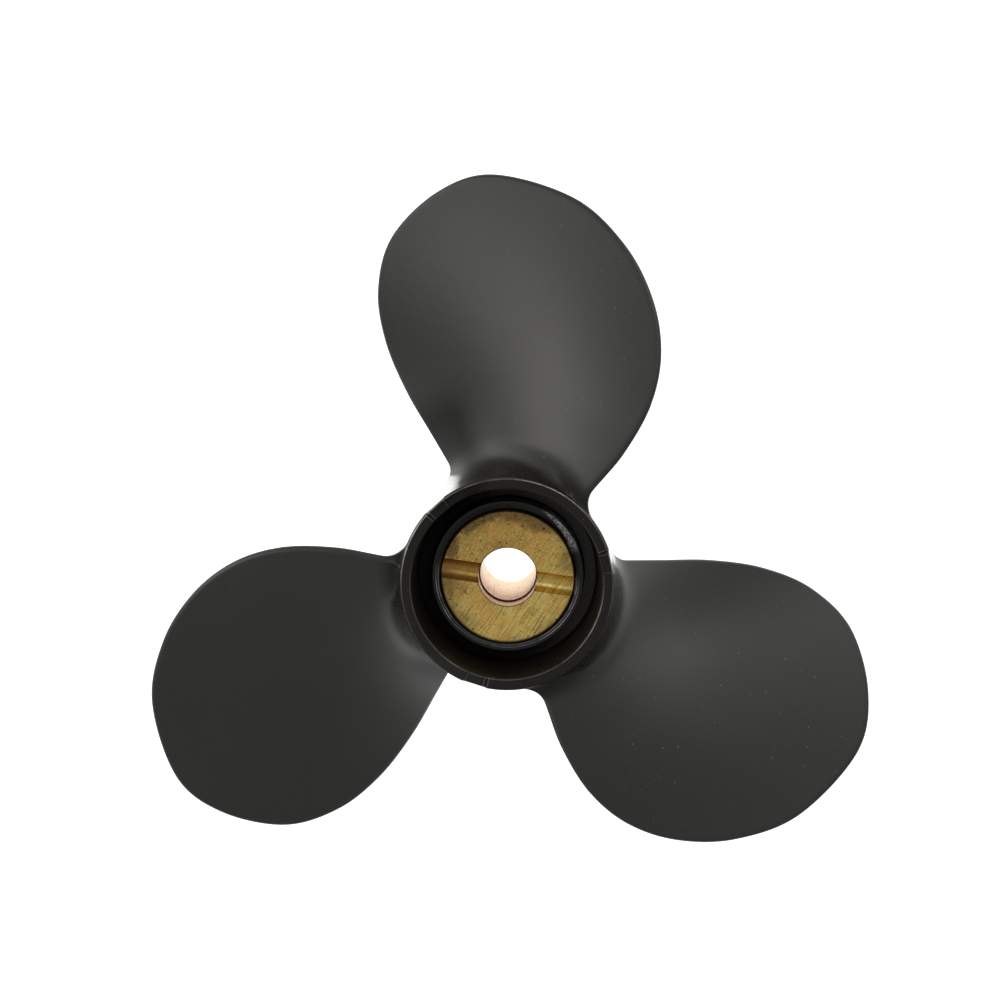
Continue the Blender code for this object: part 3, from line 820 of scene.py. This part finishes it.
def where_it_reaches(line, measure, goal):
    """The point of a line where a measure of its points reaches the goal, or comes nearest."""
    for first, second in zip(line, line[1:]):
        start, end = measure(first), measure(second)
        if min(start, end) <= goal <= max(start, end):
            return first.lerp(second, (goal - start) / (end - start))
    return min(line, key=lambda point: abs(measure(point) - goal))


def edge_distance(point):
    nearest = math.inf
    for start, end in zip(EDGE, EDGE[1:]):
        run = end - start
        share = min(1, max(0, (point - start).dot(run) / run.length_squared))
        nearest = min(nearest, (start + run * share - point).length_squared)
    return math.sqrt(nearest)


def spoke_steps(length):
    """Shares of the way from the edge to the middle: round the edge first, then over the face."""
    quarter = math.pi / 2
    near = [EDGE_RADIUS * (1 - math.cos(quarter * i / EDGE_STEPS)) for i in range(EDGE_STEPS + 1)]
    start = EDGE_RADIUS / length
    shares = [(i / FACE_ROWS) ** FACE_SPREAD for i in range(1, FACE_ROWS + 1)]
    face = [start + (1 - start) * share for share in shares]
    return [step / length for step in near] + face


def root_spoke(clearance, edge, middle_angle):
    """A spoke that bends round the hub near it and straightens further out."""
    edge_angle = direction(edge)
    sweep = middle_angle - edge_angle
    steps = spoke_steps(edge.length * abs(sweep))
    bent = []
    for step in steps:
        angle = edge_angle + sweep * step
        bent.append(polar(hub_radius(HELIX_RISE * angle) + clearance, angle))
    straight = [bent[0].lerp(bent[-1], step) for step in steps]
    straightness = (clearance - BENT_ROWS_END) / (ROOT_ROWS[-1] * MM - BENT_ROWS_END)
    return [a.lerp(b, min(1, max(0, straightness))) for a, b in zip(bent, straight)]


def outer_edge(start, end):
    """Evenly spaced points on the edge, from the trailing side round the tip to the leading."""
    outside = [point for point in reversed(EDGE) if hub_clearance(point) > ROOT_ROWS[-1] * MM]
    line = [start] + outside + [end]
    lengths = [0]
    for first, second in zip(line, line[1:]):
        lengths.append(lengths[-1] + (second - first).length)
    points = []
    step = 0
    for i in range(FAN_SPOKES + 1):
        goal = lengths[-1] * i / FAN_SPOKES
        while step < len(line) - 2 and lengths[step + 1] < goal:
            step += 1
        share = (goal - lengths[step]) / (lengths[step + 1] - lengths[step])
        points.append(line[step].lerp(line[step + 1], share))
    return points


def blade_spokes():
    trailing, leading = [], []
    for row in ROOT_ROWS:
        clearance = row * MM
        trail = where_it_reaches(TRAILING_EDGE, hub_clearance, clearance)
        lead = where_it_reaches(LEADING_EDGE, hub_clearance, clearance)
        middle_angle = (direction(lead) + direction(trail)) / 2
        trailing.append(root_spoke(clearance, trail, middle_angle))
        leading.append(root_spoke(clearance, lead, middle_angle))
    centre = trailing[-1][-1]
    fan = []
    for edge in outer_edge(trailing[-1][0], leading[-1][0])[1:-1]:
        fan.append([edge.lerp(centre, step) for step in spoke_steps((centre - edge).length)])
    return trailing + fan + leading[::-1]


def blade_pattern():
    """The outline of one blade as a flat mesh with a front and a rear sheet joined at the edge.

    Each point carries its side, its distance from the edge and its share of the way from the
    leading edge to the trailing one.
    """
    spokes = blade_spokes()
    flat = {}
    corners = []

    def corner(point, side, on_edge):
        cell = (round(point.x * GRID_PER_METRE), round(point.y * GRID_PER_METRE))
        key = (*cell, 0 if on_edge else side)
        if key not in flat:
            flat[key] = len(corners)
            corners.append((point, side))
        return flat[key]

    faces = []
    sheets = {}
    for side in (1, -1):
        sheet = [[corner(point, side, i == 0) for i, point in enumerate(one)] for one in spokes]
        for first, second in zip(sheet, sheet[1:]):
            for i in range(len(first) - 1):
                faces.append((first[i], second[i], second[i + 1], first[i + 1]))
        sheets[side] = sheet
    for end in (0, -1):
        front, rear = sheets[1][end], sheets[-1][end]
        for i in range(len(front) - 1):
            faces.append((front[i], front[i + 1], rear[i + 1], rear[i]))
    faces = [tuple(dict.fromkeys(face)) for face in faces]
    mesh = bpy.data.meshes.new("blade_pattern")
    mesh.from_pydata([(p.x, p.y, 0) for p, side in corners], [], [f for f in faces if len(f) > 2])

    measures = {name: [] for name in MEASURES}
    for point, side in corners:
        angle = direction(point)
        lead = direction(where_it_reaches(LEADING_EDGE, distance_from_shaft, point.length))
        trail = direction(where_it_reaches(TRAILING_EDGE, distance_from_shaft, point.length))
        share = (angle - lead) / max(trail - lead, SMALL_ANGLE)
        found = (side, edge_distance(point), min(1, max(0, share)))
        for name, value in zip(MEASURES, found):
            measures[name].append(value)
    for name, values in measures.items():
        mesh.attributes.new(name, "FLOAT", "POINT").data.foreach_set("value", values)
    return mesh


def blade_former(sizes):
    """The tree that carries the flat pattern onto the helix and repeats it round the hub."""
    tree = bpy.data.node_groups.new("blade_former", "GeometryNodeTree")
    tree.interface.new_socket("Geometry", in_out="INPUT", socket_type="NodeSocketGeometry")
    for name, value in sizes.items():
        kind = "NodeSocketInt" if isinstance(value, int) else "NodeSocketFloat"
        tree.interface.new_socket(name, in_out="INPUT", socket_type=kind)
    tree.interface.new_socket("Paint", in_out="INPUT", socket_type="NodeSocketMaterial")
    tree.interface.new_socket("Geometry", in_out="OUTPUT", socket_type="NodeSocketGeometry")
    bench = Bench(tree)
    given = bench.node("NodeGroupInput").outputs
    size = {name: Wire(bench, given[name]) for name in sizes}

    def measured(name):
        settings = {"data_type": "FLOAT"}
        return bench.wire("GeometryNodeInputNamedAttribute", settings, {"Name": name})

    def lower(first, second):
        return bench.math("MINIMUM", first, second)

    def higher(first, second):
        return bench.math("MAXIMUM", first, second)

    def root(value):
        return bench.math("SQRT", higher(value, 0.0))

    side, distance, chord = (measured(name) for name in MEASURES)
    flat = bench.node("ShaderNodeSeparateXYZ", None, {0: bench.wire("GeometryNodeInputPosition")})
    x, y = Wire(bench, flat.outputs[0]), Wire(bench, flat.outputs[1])
    radius = root(x * x + y * y)
    angle = bench.math("ARCTAN2", y, x)
    rise = size["Pitch"] / -math.tau
    helix = rise * angle

    # the round edge, then the swell towards the middle of the section
    edge = size["Edge radius"]
    inset = edge - lower(distance, edge)
    rounding = root(edge * edge - inset * inset)
    front_radius = size["Hub front radius"]
    outward = (radius - front_radius) / (size["Tip radius"] - front_radius)
    taper = higher(1 - outward, 0.0) ** THICKNESS_TAPER
    full = size["Tip thickness"] + (size["Root thickness"] - size["Tip thickness"]) * taper
    band = lower(size["Thick band"], radius * math.sin(ROOT_HALF_ANGLE))
    swell = (full / 2 - edge) * (1 - (1 - lower(distance / band, 1.0)) ** 2)
    skin = rounding + swell * (1 + side * (2 * size["Front share"] - 1))

    # the root fillets, tangent to the blade and to the hub
    hub_front, hub_rear = size["Hub front"], size["Hub rear"]
    hub_share = (helix - hub_rear) / (hub_front - hub_rear)
    hub = size["Hub rear radius"] + (front_radius - size["Hub rear radius"]) * hub_share
    cone = (front_radius - size["Hub rear radius"]) / (hub_front - hub_rear)
    clearance = radius - hub
    fillet = size["Leading fillet"] + (size["Trailing fillet"] - size["Leading fillet"]) * chord
    slope = root(radius * radius + rise * rise)
    upright = radius / slope
    room = (size["Root top"] - helix - upright * skin) / upright
    in_front = bench.math("GREATER_THAN", side, 0.0)
    across = 2 * chord - 1
    face_width = fillet + (size["Face fillet"] - fillet) * (1 - across * across)
    face_height = higher(room, LEAST_FILLET) + (1 - in_front) * face_width
    face_height = lower(fillet + (face_width - fillet) * FACE_FILLET_RISE, face_height)

    def growth(width, height):
        share = lower(higher(1 - clearance / width, 0.0), 1.0)
        return height * (1 - root(1 - share * share))

    over = side * (skin + growth(face_width, face_height) * rounding / edge)
    outside = bench.math("SIGN", chord - 0.5)
    aside = outside * growth(fillet, fillet) * inset / edge
    turned = angle + (aside * radius - over * rise) / (slope * radius)
    z = helix + over * upright + aside * rise / slope
    reach = radius + (z - helix) * cone
    x = reach * bench.math("COSINE", turned)
    y = reach * bench.math("SINE", turned)
    z = bench.math("SMOOTH_MIN", z, size["Root top"], ROOT_TOP_SOFTNESS) + size["Lift"]
    spot = bench.wire("ShaderNodeCombineXYZ", None, {0: x, 1: y, 2: z})

    pattern = Wire(bench, given["Geometry"])
    sockets = {"Geometry": pattern, "Position": spot}
    blade = bench.wire("GeometryNodeSetPosition", None, sockets)
    sockets = {"Count": size["Blades"], "Offset": (0, 0, 0)}
    hubs = bench.wire("GeometryNodeMeshLine", None, sockets)
    number = bench.wire("GeometryNodeInputIndex")
    turn = size["First blade"] + number * (math.tau / BLADES)
    facing = bench.wire("ShaderNodeCombineXYZ", None, {2: turn})
    sockets = {"Points": hubs, "Instance": blade, "Rotation": facing}
    blades = bench.wire("GeometryNodeInstanceOnPoints", None, sockets)
    real = bench.wire("GeometryNodeRealizeInstances", None, {"Geometry": blades})
    sockets = {"Geometry": real, "Material": Wire(bench, given["Paint"])}
    painted = bench.wire("GeometryNodeSetMaterial", None, sockets)
    bench.node("NodeGroupOutput", None, {"Geometry": painted})
    return tree


def formed_blades(paint):
    """The three blades as a plain mesh in their real places."""
    sizes = {
        "Blades": BLADES,
        "First blade": BLADE_LINE,
        "Lift": LIFT,
        "Pitch": PITCH,
        "Tip radius": TIP_RADIUS,
        "Edge radius": EDGE_RADIUS,
        "Root thickness": ROOT_THICKNESS,
        "Tip thickness": TIP_THICKNESS,
        "Thick band": THICK_BAND,
        "Front share": FRONT_SHARE,
        "Leading fillet": LEADING_FILLET,
        "Trailing fillet": TRAILING_FILLET,
        "Face fillet": FACE_FILLET,
        "Root top": ROOT_TOP,
        "Hub front": HUB_FRONT,
        "Hub rear": HUB_REAR,
        "Hub front radius": HUB_FRONT_RADIUS,
        "Hub rear radius": HUB_REAR_RADIUS,
    }
    pattern = bpy.data.objects.new("blade_pattern", blade_pattern())
    bpy.context.scene.collection.objects.link(pattern)
    modifier = pattern.modifiers.new("blade_former", "NODES")
    modifier.node_group = blade_former(sizes)
    for socket in modifier.node_group.interface.items_tree:
        if socket.in_out == "INPUT" and socket.name in sizes:
            modifier[socket.identifier] = sizes[socket.name]
        elif socket.name == "Paint":
            modifier[socket.identifier] = paint
    evaluated = pattern.evaluated_get(bpy.context.evaluated_depsgraph_get())
    mesh = bpy.data.meshes.new_from_object(evaluated)
    bpy.data.objects.remove(pattern, do_unlink=True)
    return mesh


# Pieces
def painted_casting():
    """Hub and blades: one casting, painted all over."""
    paint = satin_black_paint()
    work = ring(hub_profile(), hub_angles(), rim_with_lands)
    work.from_mesh(formed_blades(paint))
    for name in MEASURES:
        work.verts.layers.float.remove(work.verts.layers.float[name])
    return piece_from("painted_casting", work, paint)


def damper_ring():
    """The rubber ring, with its two low lips round the bush."""
    hole = BUSH_HEAD_RADIUS + GAP
    flat = DAMPER_FRONT - DAMPER_FLAT
    corner = (DAMPER_RADIUS - DAMPER_ROUNDING, flat - DAMPER_ROUNDING)
    barrel = BUSH_BARREL_RADIUS + GAP
    shoulder = BUSH_FRONT - BUSH_HEAD_LENGTH - GAP
    rear = HUB_REAR + REAR_LIP + GAP
    curve = DAMPER_LIP_CURVE
    inner, outer = hole + DAMPER_LIP_WIDTH / 2, hole + DAMPER_LIP_WIDTH
    lips = []
    for crest, top in ((inner, DAMPER_FRONT - DAMPER_LIP_STEP), (outer, DAMPER_FRONT)):
        lips += arc((crest, top - curve), curve, 90 + DAMPER_LIP_SPAN, 90)
    profile = arc(corner, DAMPER_ROUNDING, 90, 0) + [
        (DAMPER_RADIUS, rear),
        (barrel, rear),
        (barrel, shoulder),
        (hole, shoulder),
        (hole, DAMPER_FRONT - DAMPER_LIP_FALL),
        *lips,
        (outer + DAMPER_FLAT / 2, flat),
    ]
    work = ring(with_holds(profile), even_angles(RING_SIDES))
    return piece_from("damper_ring", work, black_rubber())


def slotted_bush():
    """The brass bush with its stepped bore, and the half-round slot cut across its front."""
    brass = worn_brass()
    head_rear = BUSH_FRONT - BUSH_HEAD_LENGTH
    head, barrel = BUSH_HEAD_RADIUS, BUSH_BARREL_RADIUS
    bore, mouth = SHAFT_BORE_RADIUS, BORE_MOUTH_RADIUS
    soft, fine = BUSH_CHAMFER, BORE_MOUTH_BREAK
    profile = (
        arc((head - soft, BUSH_FRONT - soft), soft, 90, 0, CHAMFER_STEPS)
        + [(head, head_rear), (barrel, head_rear)]
        + arc((barrel - soft, BUSH_REAR + soft), soft, 0, -90, CHAMFER_STEPS)
        + arc((bore + soft, BUSH_REAR + soft), soft, 270, 180, CHAMFER_STEPS)
        + [(bore, MOUTH_FLOOR), (mouth, MOUTH_FLOOR)]
        + arc((mouth + fine, BUSH_FRONT - fine), fine, 180, 90, MOUTH_BREAK_STEPS)
    )
    work = ring(with_holds(profile), even_angles(RING_SIDES))
    bush = piece_from("slotted_bush", work, brass)

    work = bmesh.new()
    height = Matrix.Translation((0, 0, BUSH_TOP))
    bmesh.ops.create_cone(
        work,
        cap_ends=True,
        segments=SLOT_SIDES,
        radius1=PIN_SLOT_RADIUS,
        radius2=PIN_SLOT_RADIUS,
        depth=3 * head,
        matrix=height @ Matrix.Rotation(math.radians(90), 4, "Y"),
    )
    cutter = piece_from("pin_slot_cutter", work, brass)
    cut = bush.modifiers.new("pin_slot", "BOOLEAN")
    cut.operation = "DIFFERENCE"
    cut.solver = "EXACT"
    cut.object = cutter
    evaluated = bush.evaluated_get(bpy.context.evaluated_depsgraph_get())
    mesh = bpy.data.meshes.new_from_object(evaluated)
    for spare in (bush, cutter):
        bpy.data.objects.remove(spare, do_unlink=True)
    work = bmesh.new()
    work.from_mesh(mesh)
    return piece_from("slotted_bush", work, brass)


# Studio
def picture_to_model(way):
    return Matrix.Rotation(-PICTURE_TURN, 3, "Z") @ Vector(way)


def place_camera():
    """Where the photograph was taken from."""
    tilt, level = math.sin(CAMERA_TILT), math.cos(CAMERA_TILT)
    lean, straight = math.sin(CAMERA_LEAN), math.cos(CAMERA_LEAN)
    right = picture_to_model((straight, lean * tilt, lean * level))
    up = picture_to_model((0, level, -tilt))
    back = picture_to_model((-lean, straight * tilt, straight * level))
    spot = right * CAMERA_ASIDE[0] + up * CAMERA_ASIDE[1] + back * CAMERA_DISTANCE
    data = bpy.data.cameras.new("camera")
    data.lens = CAMERA_LENS
    data.sensor_width = SENSOR
    data.clip_start = CAMERA_NEAR
    data.clip_end = CAMERA_FAR
    camera = bpy.data.objects.new("camera", data)
    axes = Matrix((right, up, back)).transposed().to_4x4()
    camera.matrix_world = Matrix.Translation(spot + Vector((0, 0, LIFT))) @ axes
    bpy.context.scene.collection.objects.link(camera)
    bpy.context.scene.camera = camera


def toward(azimuth, elevation):
    """A direction in the picture frame: from the picture's right, and up from the floor."""
    turn, climb = math.radians(azimuth), math.radians(elevation)
    level = math.cos(climb)
    return math.cos(turn) * level, math.sin(turn) * level, math.sin(climb)


def soft_light(name, way, width, height, brightness):
    """A panel seen from the propeller in this direction of the picture frame."""
    data = bpy.data.lights.new(name, "AREA")
    data.shape = "RECTANGLE"
    data.size, data.size_y = width, height
    data.energy = brightness * math.pi * width * height
    data.color = LAMP_COLOUR
    light = bpy.data.objects.new(name, data)
    way = picture_to_model(way)
    facing = way.to_track_quat("Z", "Y").to_matrix().to_4x4()
    light.matrix_world = Matrix.Translation(way * LAMP_DISTANCE) @ facing
    bpy.context.scene.collection.objects.link(light)


def plain_surroundings():
    world = bpy.data.worlds.new("surroundings")
    world.use_nodes = True
    background = world.node_tree.nodes["Background"]
    background.inputs["Color"].default_value = (1, 1, 1, 1)
    background.inputs["Strength"].default_value = SURROUNDINGS_BRIGHTNESS
    bpy.context.scene.world = world


def lay_floor():
    work = bmesh.new()
    bmesh.ops.create_grid(work, x_segments=1, y_segments=1, size=FLOOR_HALF_WIDTH)
    bmesh.ops.translate(work, verts=work.verts, vec=(0, 0, HUB_REAR + LIFT))
    floor = piece_from("floor", work, pale_floor())


def main():
    for piece, node, slot in (
        (painted_casting(), "propeller_casting", "satin_black_paint"),
        (damper_ring(), "rubber_damper", "black_rubber"),
        (slotted_bush(), "brass_bush", "worn_brass"),
    ):
        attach(piece, "root")
        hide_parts(node)
    lay_floor()
    plain_surroundings()
    for name, azimuth, elevation, width, height, brightness in PANELS:
        soft_light(name, toward(azimuth, elevation), width, height, brightness)
    place_camera()
    view = bpy.context.scene.view_settings
    view.view_transform = "Standard"
    view.look = "None"


main()
